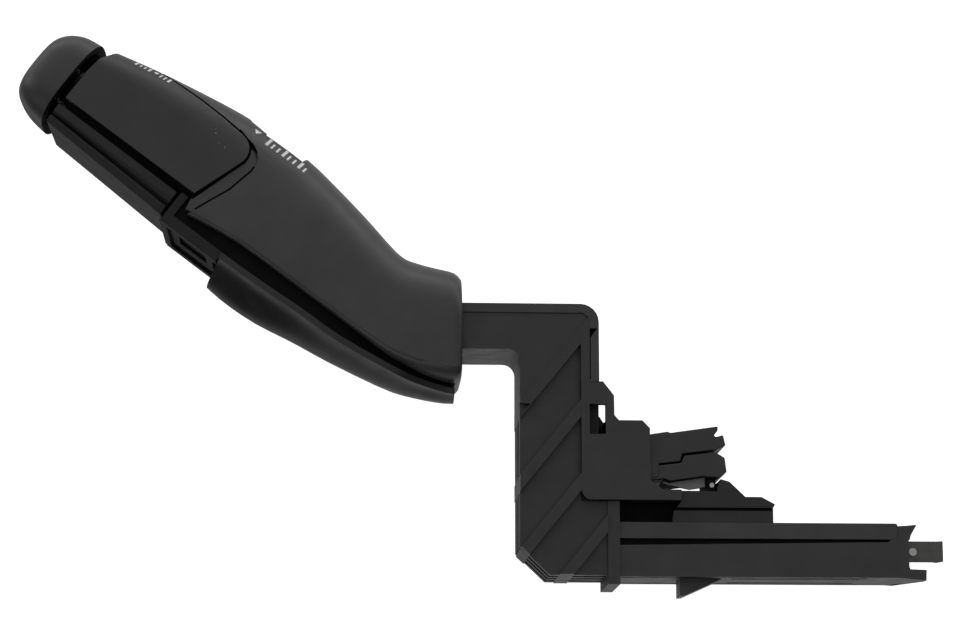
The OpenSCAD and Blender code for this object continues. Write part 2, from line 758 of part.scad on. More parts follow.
module button_spring() {
  mean = stem_d / 2 + 0.4 + spring_wire / 2;
  per_turn = 14;
  rise = (spring_to - spring_from - spring_wire) / (per_turn * spring_turns);
  rings = [
    for (i = [0:per_turn * spring_turns])
      let (a = 360 * i / per_turn, s = spring_from + spring_wire / 2 + rise * i)
      [
        for (j = [0:5])
          let (b = 60 * j, r = mean + spring_wire / 2 * cos(b))
          [s + spring_wire / 2 * sin(b), r * cos(a), r * sin(a)]
      ]
  ];
  color(steel_grey) on_handle() loft([for (r = rings) [for (i = [5:-1:0]) r[i]]]);
}

module selector_roller() {
  notch_r = 0.8;
  color(satin_black) on_handle() translate([0, roller_t, 0]) rotate([0, 90, 0]) difference() {
    union() {
      translate([0, 0, roller_s]) cylinder(r = roller_r, h = roller_len);
      translate([0, 0, roller_s + roller_len - eps]) cylinder(r = detent_r, h = detent_t + eps);
    }
    for (i = [0:roller_flutes - 1]) rotate([0, 0, i * 360 / roller_flutes])
      translate([roller_r + 0.35, 0, roller_s + 0.7]) cylinder(r = 0.75, h = roller_len - 1.4, $fn = 16);
    for (i = [-1:1]) rotate([0, 0, i * detent_step])
      translate([detent_r + 0.1, 0, roller_s + roller_len - 0.02])
        cylinder(r = notch_r, h = detent_t + 0.04, $fn = 24);
    translate([0, 0, roller_s - 1]) cylinder(d = axle_d + 2 * run_gap, h = roller_len + detent_t + 2);
  }
}

module roller_axle() {
  color(steel_grey) on_handle() translate([42.3, roller_t, 0]) rotate([0, 90, 0])
    cylinder(d = axle_d, h = 13.7);
}

module detent_spring() {
  bump_r = 0.55;
  color(steel_grey) on_handle() {
    translate([52.75, 1.6, -7.25]) cube([1.1, 0.4, 14.5]);
    translate([52.75, roller_t - detent_r - 0.25 - bump_r + 0.15, 0]) rotate([0, 90, 0])
      cylinder(r = bump_r, h = 1.1);
  }
}

// Arm: the bar to the handle, the upright leg, the diagonal ribs and the shoulder plate
module arm_outline() {
  outer_r = 3.6;
  inner_r = 2.4;
  polygon(concat(
    [[tongue_root, arm_low]],
    arc([leg_left - inner_r, arm_low - inner_r], inner_r, 90, 0),
    [[leg_left, leg_chamfer_y], [leg_chamfer_x, leg_foot], [foot_right, leg_foot]],
    [[foot_right, mount_low], [leg_right, mount_low]],
    arc([leg_right - outer_r, arm_top - outer_r], outer_r, 0, 90),
    [[tongue_root, arm_top]]
  ));
}

// The diagonal ribs as bands across the leg
module rib_bands() {
  for (i = [0:3])
    translate([leg_right - wall_t, arm_top - 6.1 - rib_pitch * i]) rotate([0, 0, rib_angle])
      translate([-30, -rib_w / 2]) square([50, rib_w]);
}

// The bar's side of the topmost rib
module bar_face() {
  translate([leg_right - wall_t, arm_top - 6.1]) rotate([0, 0, rib_angle]) translate([-30, rib_w / 2])
    square([60, 30]);
}

module leg_panels() {
  difference() {
    polygon([
      [leg_left - 2, leg_foot - 2], [foot_right, leg_foot - 2], [foot_right, mount_low],
      [leg_right - wall_t, mount_low], [leg_right - wall_t, arm_top - 7], [leg_left - 2, arm_top - 21.5]
    ]);
    rib_bands();
  }
}

// The band along the leg's left and lower edges that the grooves cut into
module groove_band() {
  g = groove_depth;
  difference() {
    polygon([
      [leg_left - 2, arm_top - 19.5], [leg_left + g, arm_top - 19.5], [leg_left + g, leg_chamfer_y + 0.4 * g],
      [leg_chamfer_x + 0.4 * g, leg_foot + g], [foot_right, leg_foot + g],
      [foot_right, leg_foot - 2], [leg_left - 2, leg_foot - 2]
    ]);
    rib_bands();
  }
}

module ribbon_duct() {
  half = ribbon_w / 2 + 0.3;
  low = cable_y - 0.5;
  translate([tongue_end - 1, arm_top - cover_t - 1.1, -half])
    cube([leg_right - cover_t - tongue_end, 1.1 + eps, 2 * half]);
  translate([leg_right - cover_t - 1.3, low, -half]) cube([1.3 + eps, arm_top - cover_t - low, 2 * half]);
  translate([leg_right - cover_t - 1.3, low, -half]) cube([12, 1, 2 * half]);
}

cable_y = 1;

module cover_outline() {
  outer_r = 3.6;
  corner_cut = 1.2;
  polygon(concat(
    [[tongue_root, arm_top - cover_t]],
    [[leg_right - cover_t - corner_cut, arm_top - cover_t]],
    [[leg_right - cover_t, arm_top - cover_t - corner_cut]],
    [[leg_right - cover_t, mount_top + 0.2]],
    [[leg_right, mount_top + 0.2]],
    arc([leg_right - outer_r, arm_top - outer_r], outer_r, 0, 90),
    [[tongue_root, arm_top]]
  ));
}

module arm_body() {
  fin = (arm_depth - 2 * panel_depth - 3 * groove_w) / 4;
  color(body_black) difference() {
    union() {
      translate([0, 0, -arm_depth / 2]) linear_extrude(height = arm_depth) difference() {
        arm_outline();
        cover_outline();
      }
      translate([tongue_end, arm_low, -tongue_depth / 2])
        cube([tongue_root - tongue_end + eps, bar_h, tongue_depth]);
      translate([foot_right - eps, post_low, -post_depth / 2])
        cube([shoulder_t + eps, mount_low - post_low, post_depth]);
      translate([0, 0, -2]) linear_extrude(height = 4)
        polygon([[leg_right - eps, 24], [leg_right - eps, 21.5], [-3.6, 21.5], [-3.6, 22.6]]);
    }
    for (side = [0, 1]) mirror([0, 0, side]) {
      translate([0, 0, arm_depth / 2 - panel_depth]) linear_extrude(height = panel_depth + 1) leg_panels();
      translate([0, 0, arm_depth / 2 - bar_step]) linear_extrude(height = bar_step + 1) bar_face();
      translate([leg_right - wall_t, mount_low - 0.1, arm_depth / 2 - mount_wall - 0.1])
        cube([10, mount_top - mount_low + 0.1, mount_wall + 2]);
    }
    for (i = [-1:1]) translate([0, 0, i * (fin + groove_w) - groove_w / 2])
      linear_extrude(height = groove_w) groove_band();
    ribbon_duct();
    shoulder_pocket();
    translate([arm_screw_x, arm_mid, -20]) cylinder(d = arm_screw_d + 0.2, h = 40);
  }
}

// What the rail, its cover and the terminal block are set into
module shoulder_pocket() {
  translate([seat_x, rail_low_y, -rail_depth / 2])
    cube([seat_depth + 1, rail_body_h + rail_cover_h, rail_depth]);
  translate([seat_x, rail_low_y + rail_body_h, -4])
    cube([seat_depth + 1, mount_low - 0.1 - rail_low_y - rail_body_h, 8]);
}

module duct_cover() {
  color(satin_black) translate([0, 0, -arm_depth / 2]) linear_extrude(height = arm_depth) cover_outline();
}

// Housing that clips on the leg, with a window over the snap hook
window_top = 27;

module mount_outline() {
  polygon(concat(
    [[leg_right - wall_t, 23.9], [3.6, 23.9], [5.05, 22.4], [5.05, 12.4]],
    [[7.4, 10.6], [11, 10.6], [11, mount_low]],
    arc([leg_right - wall_t + 1.9, mount_low + 1.9], 1.9, -90, -180)
  ));
}

module mount_housing() {
  h = arm_depth;
  in_h = arm_depth - 2 * mount_wall;
  color(body_black) difference() {
    union() {
      translate([0, 0, -h / 2]) linear_extrude(height = h) mount_outline();
      translate([0, 0, in_h / 2]) linear_extrude(height = (h - in_h) / 2) polygon([
        [leg_right - wall_t, 23], [leg_right - wall_t, mount_top], [-3.9, mount_top + 0.2],
        [-1.8, 28.7], [-1.75, 24.9], [-0.9, 23.9], [0, 23]
      ]);
    }
    translate([0, 0, -in_h / 2]) linear_extrude(height = in_h) polygon([
      [-9, mount_top + 1], [leg_right + 0.2, mount_top + 1], [leg_right + 0.2, 23.5],
      [-3.3, 23.5], [-3.3, 22.1], [5.2, 22.1], [5.2, 11], [0, mount_low - 1], [-9, mount_low - 1]
    ]);
    translate([leg_right - cover_t - 0.1, window_top - window_h, -5]) cube([window_w, window_h, 20]);
  }
}

fork_root = 0.6;
fork_half = arm_depth / 2 - mount_wall - 0.3;

// The forks are drawn level and then tilted about their root
module fork_frame() {
  translate([5, 16.4, -fork_half]) rotate([0, 0, fork_tilt]) linear_extrude(height = 2 * fork_half)
    children();
}

module upper_fork() {
  color(body_black) fork_frame() polygon([
    [fork_root - 5, 1.2], [fork_root - 5, 4.9], [4.4, 5.2], [4.8, 4.9],
    [fork_out - 0.5, 5.1], [fork_out - 0.6, 4.3], [fork_out - 1.5, 3.4], [fork_out - 1.1, 3.1],
    [fork_out + 0.3, 3.3], [fork_out + 0.5, 1.2], [fork_out - 1.6, 0.6],
    [6.6, 0.6], [6, -0.8], [0.2, -0.8], [0.2, 1.2]
  ]);
}

module lower_fork() {
  color(body_black) fork_frame() polygon([
    [fork_root - 5, -3.8], [fork_root - 5, 0.9], [-0.1, 0.9], [-0.1, -1.1], [6.1, -1.1], [6.9, 0.2],
    [fork_out - 1.6, 0.2], [fork_out, -1.1], [fork_out, -3.9], [fork_out - 1.6, -4.8],
    [10, -4.2], [3.6, -4.4], [2.4, -3.8]
  ]);
}

module fork_contact() {
  color(deep_black) translate([0, 0, -6]) linear_extrude(height = 12.6)
    polygon([[16.6, 10.55], [16.3, 12.8], [17.6, 13.1], [17.9, 12.7], [17.85, 10.55]]);
}

module terminal_block() {
  half = rail_depth / 2;
  low = cable_y + 0.45 + rail_cover_h;
  color(body_black) difference() {
    union() {
      translate([0, 0, -half]) linear_extrude(height = 2 * half) difference() {
        polygon([
          [9.3, low], [28.7, low], [28.7, 7.4], [29.1, 8.1], [26.5, 9.5], [23.4, 9.5],
          [20.4, 12.4], [18.7, 12.9], [18.1, 11.4], [18, 10.6],
          [11.05, 10.6], [11.05, mount_low - 0.05], [9.6, 6.6]
        ]);
        polygon([[15.9, 10.55], [15.9, 14], [18.05, 14], [18.05, 10.55]]);
      }
      translate([seat_x, low, -4]) cube([11.2 - seat_x, mount_low - 0.1 - low, 8]);
    }
    for (side = [0, 1]) mirror([0, 0, side]) translate([9, 6.8, half - 0.9]) cube([19.5, 0.6, 2]);
    translate([seat_x - 1, low - 1, -2]) cube([23 - seat_x, 3, 4]);
  }
}

// Slide rail with its cable slot, end wall, barb, prong and wedge
rail_low_y = cable_y + 0.45 - rail_body_h;
blade_low = -2.6;
blade_z = 4.6;

module rail_body() {
  half = rail_depth / 2;
  slot_half = ribbon_w / 2 + 0.3;
  top = cable_y + 0.45;
  color(body_black) difference() {
    union() {
      translate([shoulder_x, rail_low_y, -half]) cube([rail_len - shoulder_x - 2, rail_body_h, 2 * half]);
      rail_seat(rail_low_y, rail_body_h);
      translate([0, 0, -half]) linear_extrude(height = 2 * half) polygon([
        [rail_len - 2.1, rail_low_y], [rail_len - 2.1, top + 2.6],
        [rail_len - 0.3, top + 2.7], [rail_len + 1.6, top + 2.9],
        [rail_len + 0.4, top + 0.8], [rail_len + 0.2, top], [rail_len, top], [rail_len, blade_low - 1.1],
        [rail_len + 0.2, blade_low - 1.6], [rail_len + 3.3, blade_low - 1.7],
        [rail_len + 3.2, rail_low_y - 0.5],
        [rail_len - 0.6, rail_low_y - 0.1]
      ]);
      translate([0, 0, -2]) linear_extrude(height = 6)
        polygon([
          [11, rail_low_y + 0.2], [11, rail_low_y - 3.3], [11.8, rail_low_y - 3.3], [19.6, rail_low_y + 0.2]
        ]);
    }
    translate([seat_x - 1, top - 0.75, -slot_half]) cube([rail_len - 2.4 - seat_x + 1, 2, 2 * slot_half]);
    translate([rail_len - 5, blade_low, blade_z]) cube([6, blade_w, blade_t]);
    for (side = [0, 1]) mirror([0, 0, side]) {
      translate([0, 0, half - 1]) linear_extrude(height = 2)
        polygon([
          [shoulder_x, top + 1], [shoulder_x, top - 1.3], [rail_len - 4, top - 0.5], [rail_len - 2.1, top + 1]
        ]);
      translate([shoulder_x, rail_low_y - 1, half - 2.3]) cube([rail_len - 7, 2.2, 0.9]);
      translate([21, rail_low_y - 1, half - 4.6]) cube([rail_len - 30, 2, 1]);
    }
  }
}

// The end of a rail piece that sits in the shoulder's pocket
module rail_seat(low, h) {
  half = rail_depth / 2 - seat_play;
  translate([seat_x, low, -half]) cube([seat_depth + eps, h, 2 * half]);
}

module rail_cover() {
  half = rail_depth / 2;
  low = cable_y + 0.45;
  right = rail_len - 2.1;
  color(satin_black) {
    translate([0, 0, -half]) linear_extrude(height = 2 * half) polygon(concat(
      [[shoulder_x, low], [right - 1.6, low]],
      arc([right - 1.6, low + 1.6], 1.6, -90, 0),
      [[right, low + rail_cover_h - 0.3], [right - 0.3, low + rail_cover_h], [shoulder_x, low + rail_cover_h]]
    ));
    rail_seat(low, rail_cover_h);
  }
}

// A flat contact tongue with a hooked end
module contact_blade() {
  root = rail_len - 5;
  tip = rail_len + blade_out;
  color(deep_black) translate([0, blade_low + blade_w, 0]) rotate([90, 0, 0])
    linear_extrude(height = blade_w) polygon([
    [root, blade_z], [tip - 1.9, blade_z], [tip - 0.9, blade_z - 1.4], [tip, blade_z - 1.1],
    [tip - 1.2, blade_z + blade_t], [root, blade_z + blade_t]
  ]);
}

module contact_rivets() {
  color(contact_silver) {
    translate([rail_len + 1.1, -0.7, blade_z + blade_t]) cylinder(r = 0.75, h = 0.4);
    translate([17.1, 11.8, 6.6]) cylinder(r = 0.45, h = 0.3);
  }
}

// The ribbon runs from the board through the duct, down the leg and along the rail
module ribbon_cable() {
  t = ribbon_t;
  fold = 1.1;
  top_y = arm_top - cover_t - 0.7;
  down_x = leg_right - cover_t - 0.6;
  board_a = to_arm([board_end - 4, board_top]);
  board_b = to_arm([board_end - 4, board_top + t]);
  board_c = to_arm([board_end, board_top]);
  board_d = to_arm([board_end, board_top + t]);
  end_x = rail_len - 3.4;
  color(ribbon_buff) translate([0, 0, -ribbon_w / 2]) linear_extrude(height = ribbon_w) polygon([
    board_b, board_d, [tongue_end - 0.2, top_y + t],
    [down_x + t - fold, top_y + t], [down_x + t, top_y + t - fold], [down_x + t, cable_y + t / 2],
    [end_x, cable_y + t / 2], [end_x, cable_y - t / 2], [down_x, cable_y - t / 2],
    [down_x, top_y - 0.8 * fold], [down_x - 0.8 * fold, top_y], [tongue_end - 0.2, top_y], board_c, board_a
  ]);
}

arm_body();
duct_cover();
mount_housing();
upper_fork();
lower_fork();
fork_contact();
terminal_block();
rail_body();
rail_cover();
contact_blade();
contact_rivets();
ribbon_cable();
front_shell();
rear_shell();
inner_frame();
circuit_board();
push_switches();
frame_screws();
arm_screw();
near_key();
far_key();
key_pins();
rear_rocker();
rocker_pin();
end_button();
button_spring();
selector_roller();
roller_axle();
detent_spring();
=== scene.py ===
import json
import math

import bmesh
import bpy
from mathutils import Matrix, Vector
from mathutils.bvhtree import BVHTree

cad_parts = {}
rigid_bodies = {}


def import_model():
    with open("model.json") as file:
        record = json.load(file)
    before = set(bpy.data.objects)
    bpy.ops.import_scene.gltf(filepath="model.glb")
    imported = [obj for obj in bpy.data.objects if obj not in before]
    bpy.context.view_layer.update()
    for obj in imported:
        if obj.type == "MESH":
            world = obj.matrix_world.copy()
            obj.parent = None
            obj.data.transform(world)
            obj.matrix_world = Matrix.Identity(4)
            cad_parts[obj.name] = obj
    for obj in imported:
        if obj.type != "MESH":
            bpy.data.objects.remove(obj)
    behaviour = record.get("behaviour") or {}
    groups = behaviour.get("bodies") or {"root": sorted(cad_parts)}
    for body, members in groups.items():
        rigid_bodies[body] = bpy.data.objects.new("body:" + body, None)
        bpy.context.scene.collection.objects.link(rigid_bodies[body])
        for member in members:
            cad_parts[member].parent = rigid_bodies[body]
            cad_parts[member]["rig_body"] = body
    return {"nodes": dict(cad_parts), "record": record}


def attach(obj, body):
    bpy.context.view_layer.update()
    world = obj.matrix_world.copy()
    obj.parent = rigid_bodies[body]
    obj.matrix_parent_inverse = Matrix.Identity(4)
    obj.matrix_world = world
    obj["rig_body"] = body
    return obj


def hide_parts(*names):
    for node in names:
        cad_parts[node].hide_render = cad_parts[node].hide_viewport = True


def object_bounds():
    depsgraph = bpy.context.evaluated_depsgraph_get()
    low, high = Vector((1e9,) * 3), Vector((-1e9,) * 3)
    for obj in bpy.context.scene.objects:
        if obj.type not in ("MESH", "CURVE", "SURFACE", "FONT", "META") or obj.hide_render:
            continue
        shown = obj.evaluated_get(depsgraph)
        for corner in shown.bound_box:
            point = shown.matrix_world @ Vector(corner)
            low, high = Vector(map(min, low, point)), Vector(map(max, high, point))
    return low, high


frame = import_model()
cad_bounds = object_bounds()
nodes = frame["nodes"]
slot_of = {p["node"]: p["material_slot"] for p in frame["record"]["subparts"]}
scene = bpy.context.scene
scene.view_settings.view_transform = "Standard"
MM = 0.001

# The handle's own frame, as in the model: s from the end button to the base, t towards the driver
HANDLE_ANGLE = math.radians(37)
HANDLE_LEN, BASE_RISE = 97.1, 7.3
GRIP_END, ARM_TOP, BAR_H = -31.0, 46.5, 8.9
ALONG = Vector((math.cos(HANDLE_ANGLE), -math.sin(HANDLE_ANGLE)))
ACROSS = Vector((math.sin(HANDLE_ANGLE), math.cos(HANDLE_ANGLE)))
HANDLE_AT = Vector((GRIP_END, ARM_TOP - BAR_H / 2)) - HANDLE_LEN * ALONG - BASE_RISE * ACROSS

# A place in millimetres that is clear of the whole part, and the way down from there
CLEAR = 40
DOWN = Vector((0, 0, -1))


def on_handle(s, t, z):
    """A place of the handle, given in millimetres, in world metres."""
    p = HANDLE_AT + s * ALONG + t * ACROSS
    return Vector((p.x, p.y, z)) * MM


def to_handle(co):
    """World metres to the handle's s, t and z in millimetres."""
    p = Vector((co.x, co.y)) / MM - HANDLE_AT
    return p.dot(ALONG), p.dot(ACROSS), co.z / MM


def between(a, b, f):
    return a + (b - a) * f


# ---------------------------------------------------------------- materials

# Widths of the patches of noise, in metres: a plastic's tone, gloss and waves, a metal's stains, gloss and grain
PLASTIC_TONE, PLASTIC_GLOSS, PLASTIC_WAVES = 0.009, 0.0035, 0.0055
METAL_STAIN, METAL_GLOSS, METAL_GRAIN = 0.0016, 0.0008, 0.0006
METAL_DEPTH = 0.000008
STAINED = 0.72
# The share of the noise's range that the materials use
NOISE_LOW, NOISE_HIGH = 0.3, 0.7


class Shader:
    """A Principled material with colour, roughness and bump from noise in object coordinates, in metres."""

    def __init__(self, name, metallic=0.0, ior=1.5):
        self.mat = bpy.data.materials.new(name)
        self.mat.use_nodes = True
        self.nodes = self.mat.node_tree.nodes
        self.links = self.mat.node_tree.links
        self.bsdf = self.nodes["Principled BSDF"]
        self.bsdf.inputs["Metallic"].default_value = metallic
        self.bsdf.inputs["IOR"].default_value = ior
        self.coords = self.nodes.new("ShaderNodeTexCoord").outputs["Object"]
        self.normal = None

    def noise(self, size, detail=3.0, roughness=0.55, stretch=None):
        """Noise whose patches are about size metres wide."""
        node = self.nodes.new("ShaderNodeTexNoise")
        node.inputs["Scale"].default_value = 1.0 / size
        node.inputs["Detail"].default_value = detail
        node.inputs["Roughness"].default_value = roughness
        source = self.coords
        if stretch:
            mapping = self.nodes.new("ShaderNodeMapping")
            mapping.inputs["Scale"].default_value = stretch
            self.links.new(source, mapping.inputs["Vector"])
            source = mapping.outputs["Vector"]
        self.links.new(source, node.inputs["Vector"])
        return node.outputs["Fac"]

    def span(self, noise, low, high):
        """Spreads noise over low..high."""
        node = self.nodes.new("ShaderNodeMapRange")
        node.inputs["From Min"].default_value = NOISE_LOW
        node.inputs["From Max"].default_value = NOISE_HIGH
        node.inputs["To Min"].default_value = low
        node.inputs["To Max"].default_value = high
        self.links.new(noise, node.inputs["Value"])
        return node.outputs["Result"]

    def mix(self, factor, a, b):
        """A blend of two colours; 6 and 7 are the Mix node's colour inputs and 2 its colour output."""
        node = self.nodes.new("ShaderNodeMix")
        node.data_type = "RGBA"
        self.links.new(factor, node.inputs["Factor"])
        node.inputs[6].default_value = (*a, 1)
        node.inputs[7].default_value = (*b, 1)
        return node.outputs[2]

    def bump(self, height, distance):
        """Adds relief of a given depth in metres to what is there."""
        node = self.nodes.new("ShaderNodeBump")
        node.inputs["Strength"].default_value = 1.0
        node.inputs["Distance"].default_value = distance
        self.links.new(height, node.inputs["Height"])
        if self.normal:
            self.links.new(self.normal, node.inputs["Normal"])
        self.normal = node.outputs["Normal"]

    def color(self, socket):
        self.links.new(socket, self.bsdf.inputs["Base Color"])

    def roughness(self, socket):
        self.links.new(socket, self.bsdf.inputs["Roughness"])

    def done(self):
        if self.normal:
            self.links.new(self.normal, self.bsdf.inputs["Normal"])
        return self.mat


def grey(v, warm=0.0):
    return (v * (1 + warm), v, v * (1 - warm))


def plastic(name, tone, rough, grain=0.00028, depth=0.000012, wave=0.0, spread=0.25, ior=1.5):
    """Moulded plastic: fine eroded texture, faint flow marks, and roughness that drifts over the surface."""
    s = Shader(name, ior=ior)
    patches = s.span(s.noise(PLASTIC_TONE, 4), 0.0, 1.0)
    s.color(s.mix(patches, grey(tone * (1 - spread)), grey(tone * (1 + spread))))
    s.roughness(s.span(s.noise(PLASTIC_GLOSS, 5, 0.65), rough - 0.06, rough + 0.06))
    if wave:
        s.bump(s.noise(PLASTIC_WAVES, 2), wave)
    s.bump(s.noise(grain, 3, 0.6), depth)
    return s.done()


def metal(name, tone, rough, stretch=None):
    """Bare metal with warm stains; stretch draws its grain out along an axis."""
    s = Shader(name, metallic=1.0)
    stain = s.span(s.noise(METAL_STAIN, 4, 0.6), 0.0, 1.0)
    s.color(s.mix(stain, grey(tone * STAINED, 0.03), grey(tone, 0.01)))
    s.roughness(s.span(s.noise(METAL_GLOSS, 4), rough - 0.08, rough + 0.1))
    s.bump(s.noise(METAL_GRAIN, 3, 0.6, stretch), METAL_DEPTH)
    return s.done()


# The record's slots first, then what the scene adds: two tones of painted shade for the recesses, special pieces, a
# pale pad that paints a reflection under the fork, and marks
finish = {
    "arm_plastic": plastic("arm_plastic", 0.012, 0.48, wave=0.00004),
    "cover_plastic": plastic("cover_plastic", 0.02, 0.46, wave=0.00003),
    "rail_plastic": plastic("rail_plastic", 0.014, 0.46, wave=0.00003),
    "shell_satin": plastic("shell_satin", 0.021, 0.4, grain=0.00022, depth=0.00001),
    "shell_matte": plastic("shell_matte", 0.004, 0.36, grain=0.00024, depth=0.000008, ior=1.43),
    "key_satin": plastic("key_satin", 0.009, 0.42, grain=0.00022, depth=0.000009),
    "button_satin": plastic("button_satin", 0.019, 0.4, grain=0.0002, depth=0.000007),
    "roller_plastic": plastic("roller_plastic", 0.012, 0.4, grain=0.0002, depth=0.000008),
    "inner_plastic": plastic("inner_plastic", 0.003, 0.65, wave=0.00003, ior=1.4),
    "contact_dark": metal("contact_dark", 0.095, 0.42),
    "contact_silver": metal("contact_silver", 0.4, 0.35),
    "steel": metal("steel", 0.03, 0.5, stretch=(1, 1, 6)),
    "ribbon": plastic("ribbon", 0.45, 0.4, grain=0.0008, depth=0.00001),
    "board": plastic("board", 0.02, 0.45),
    "switch_plastic": plastic("switch_plastic", 0.01, 0.5),
    # Painted shade: dark, dull plastics that faces closed in by other parts take instead of their own finish
    "low": plastic("recess_low", 0.006, 0.6, ior=1.33),
    "deep": plastic("recess_deep", 0.004, 0.75, ior=1.2),
    "block": plastic("block_plastic", 0.01, 0.5, ior=1.42),
    "rocker": plastic("rocker_plastic", 0.008, 0.5, ior=1.38),
    # Pale plastic that paints the white floor's reflection on the lower fork's underside
    "painted_reflection": plastic("pad_pale", 0.3, 0.5, spread=0.2),
    "scuff": plastic("scuff_pale", 0.12, 0.6, grain=0.0002, depth=0.00001, spread=0.3),
    "print": plastic("print_white", 0.62, 0.45, grain=0.0004, depth=0.000006, spread=0.12),
}

# ---------------------------------------------------------------- dressed pieces

# Widths of the rounding on moulded edges, in metres, and the angle from which an edge is rounded
EDGE, FINE_EDGE, SOFT_EDGE = 0.0002, 0.0001, 0.0004
HOUSING_EDGE, BOSS_EDGE = 0.00012, 0.00015
EDGE_ANGLE = math.radians(35)
# Vertices closer than this are one, and faces that turn less than this are one
WELD, SAME_FACE = 1e-6, math.radians(0.6)

dressed = []


def world_tree(objects):
    """A search tree of the objects' faces; the CAD nodes stand at the origin, so their mesh is in world metres."""
    verts, faces = [], []
    for ob in objects:
        start = len(verts)
        verts += [v.co.copy() for v in ob.data.vertices]
        faces += [[start + i for i in p.vertices] for p in ob.data.polygons]
    return BVHTree.FromPolygons(verts, faces)


def finished(piece, node, width):
    """Rounds the moulded edges of a piece and hangs it on its node's body."""
    bevel = piece.modifiers.new("edges", "BEVEL")
    bevel.width = width
    bevel.segments = 2
    bevel.limit_method = "ANGLE"
    bevel.angle_limit = EDGE_ANGLE
    bevel.use_clamp_overlap = True
    even = piece.modifiers.new("even_shading", "WEIGHTED_NORMAL")
    even.weight = 80
    even.keep_sharp = False
    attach(piece, nodes[node]["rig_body"])
    dressed.append(piece)
    return piece


def piece_from(bm, name, slot):
    mesh = bpy.data.meshes.new(name)
    bmesh.ops.recalc_face_normals(bm, faces=bm.faces)
    for face in bm.faces:
        face.smooth = True
    bm.to_mesh(mesh)
    bm.free()
    mesh.materials.append(finish[slot])
    piece = bpy.data.objects.new(name, mesh)
    scene.collection.objects.link(piece)
    return piece


def skin(rings):
    """A closed solid through rings of points, each ring in order round the section."""
    bm = bmesh.new()
    loops = [[bm.verts.new(p) for p in ring] for ring in rings]
    n = len(loops[0])
    for a, b in zip(loops, loops[1:]):
        for i in range(n):
            bm.faces.new((a[i], a[(i + 1) % n], b[(i + 1) % n], b[i]))
    bm.faces.new(list(reversed(loops[0])))
    bm.faces.new(loops[-1])
    return bm


def carve(piece, cuts):
    """Cuts each solid out of a piece for good."""
    material = piece.data.materials[0]
    for rings in cuts:
        tool = piece_from(skin(rings), "cutter", "deep")
        cut = piece.modifiers.new("cut", "BOOLEAN")
        cut.operation = "DIFFERENCE"
        cut.solver = "EXACT"
        cut.object = tool
        mesh = bpy.data.meshes.new_from_object(piece.evaluated_get(bpy.context.evaluated_depsgraph_get()))
        piece.modifiers.clear()
        piece.data = mesh
        bpy.data.objects.remove(tool)
    piece.data.materials.clear()
    piece.data.materials.append(material)


def dress(node, width=EDGE, reshape=None, cuts=(), look=None):
    """A piece that stands for a CAD node: the same form with its moulded edges rounded."""
    bm = bmesh.new()
    bm.from_mesh(nodes[node].data)
    bmesh.ops.remove_doubles(bm, verts=bm.verts, dist=WELD)
    bmesh.ops.dissolve_limit(
        bm, angle_limit=SAME_FACE, verts=bm.verts, edges=bm.edges, use_dissolve_boundaries=False
    )
    if reshape:
        reshape(bm)
    piece = piece_from(bm, "form_" + node, slot_of[node])
    if look:
        piece.data.materials[0] = finish[look]
    carve(piece, cuts)
    finished(piece, node, width)
    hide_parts(node)


def prism(name, rings, node, slot, width):
    return finished(piece_from(skin(rings), name, slot), node, width)


def flat(outline, low, high):
    """Rings of a flat solid with its outline in X and Y, between two heights, all in millimetres."""
    return [[Vector((x, y, z)) * MM for x, y in outline] for z in (low, high)]


def handle_block(s_ends, t_ends, z_ends):
    """Rings of a block that lies square to the handle."""
    (t0, t1), (z0, z1) = t_ends, z_ends
    return [[on_handle(s, t, z) for t, z in ((t0, z0), (t1, z0), (t1, z1), (t0, z1))] for s in s_ends]


# The keys stop short of the rocker, which leaves the wide dark seam along their lower edge
KEY_LOW = -4.5
KEY_TRIM = 0.65
SLACK = 0.05


def trim_key(bm):
    for v in bm.verts:
        s, t, z = to_handle(v.co)
        if t < KEY_LOW + SLACK:
            v.co = on_handle(s, t + KEY_TRIM, z)


# The prong and the barb at the rail's end are tabs on the near side
RAIL_LEN = 54.7
PRONG_FROM, PRONG_TOP = RAIL_LEN + 0.1, -3.8
BARB_FROM, BARB_FOOT = RAIL_LEN + 0.3, 2
TAB = 2.2


def thin_tabs(bm):
    top = max(v.co.z for v in bm.verts)
    for v in bm.verts:
        x, y = v.co.x / MM, v.co.y / MM
        prong = x > PRONG_FROM and y < PRONG_TOP
        barb = x > BARB_FROM and y > BARB_FOOT
        if v.co.z < 0 and (prong or barb):
            v.co.z = top - TAB * MM


# The contact blade's tip stands up towards the near side
TIP_FROM, TIP_RISE = 60.8, 2.6


def raised_tip(bm):
    for v in bm.verts:
        if v.co.x > TIP_FROM * MM:
            v.co.z += TIP_RISE * MM


# Carving on the arm's near face: past the end of the topmost rib, the cover's slot and the head of its seam
ARM_FACE = 18.6 / 2
PROUD = ARM_FACE + 1
PANEL_DROP = 1.8
SLOT_DEPTH = 0.7
RIB_END = [
    (-21.5, 28.1), (-20.1, 27.85), (-19.4, 27.2), (-18.7, 26.95), (-17.8, 27.0), (-20.15, 24.25), (-21.5, 22.6),
]
SLOT = [(-6.5, 31.8), (-6.22, 31.8), (-6.22, 39.9), (-4.95, 41.7), (-6.5, 41.7)]
SEAM_HEAD = [(-8.35, 44.95), (-6.75, 44.0), (-6.6, 43.55), (-8.1, 44.5)]

# The keys' ledge in the front shell ends at a wall; a fine groove runs along its foot
LEDGE_FOOT = [
    (43.3, -6.3), (43.7, -5.2), (44.4, -3.4), (45.3, -1.2), (46.1, 0.7), (46.4, 2.2), (46.7, 3.8), (46.85, 4.6),
    (47.05, 5.4), (47.18, 6.3), (47.15, 7.3),
]
GROOVE_W, GROOVE_DEPTH, GROOVE_OVER = 0.55, 0.5, 0.2
GROOVE_SLANT = 0.3
PROBE_IN = 0.3


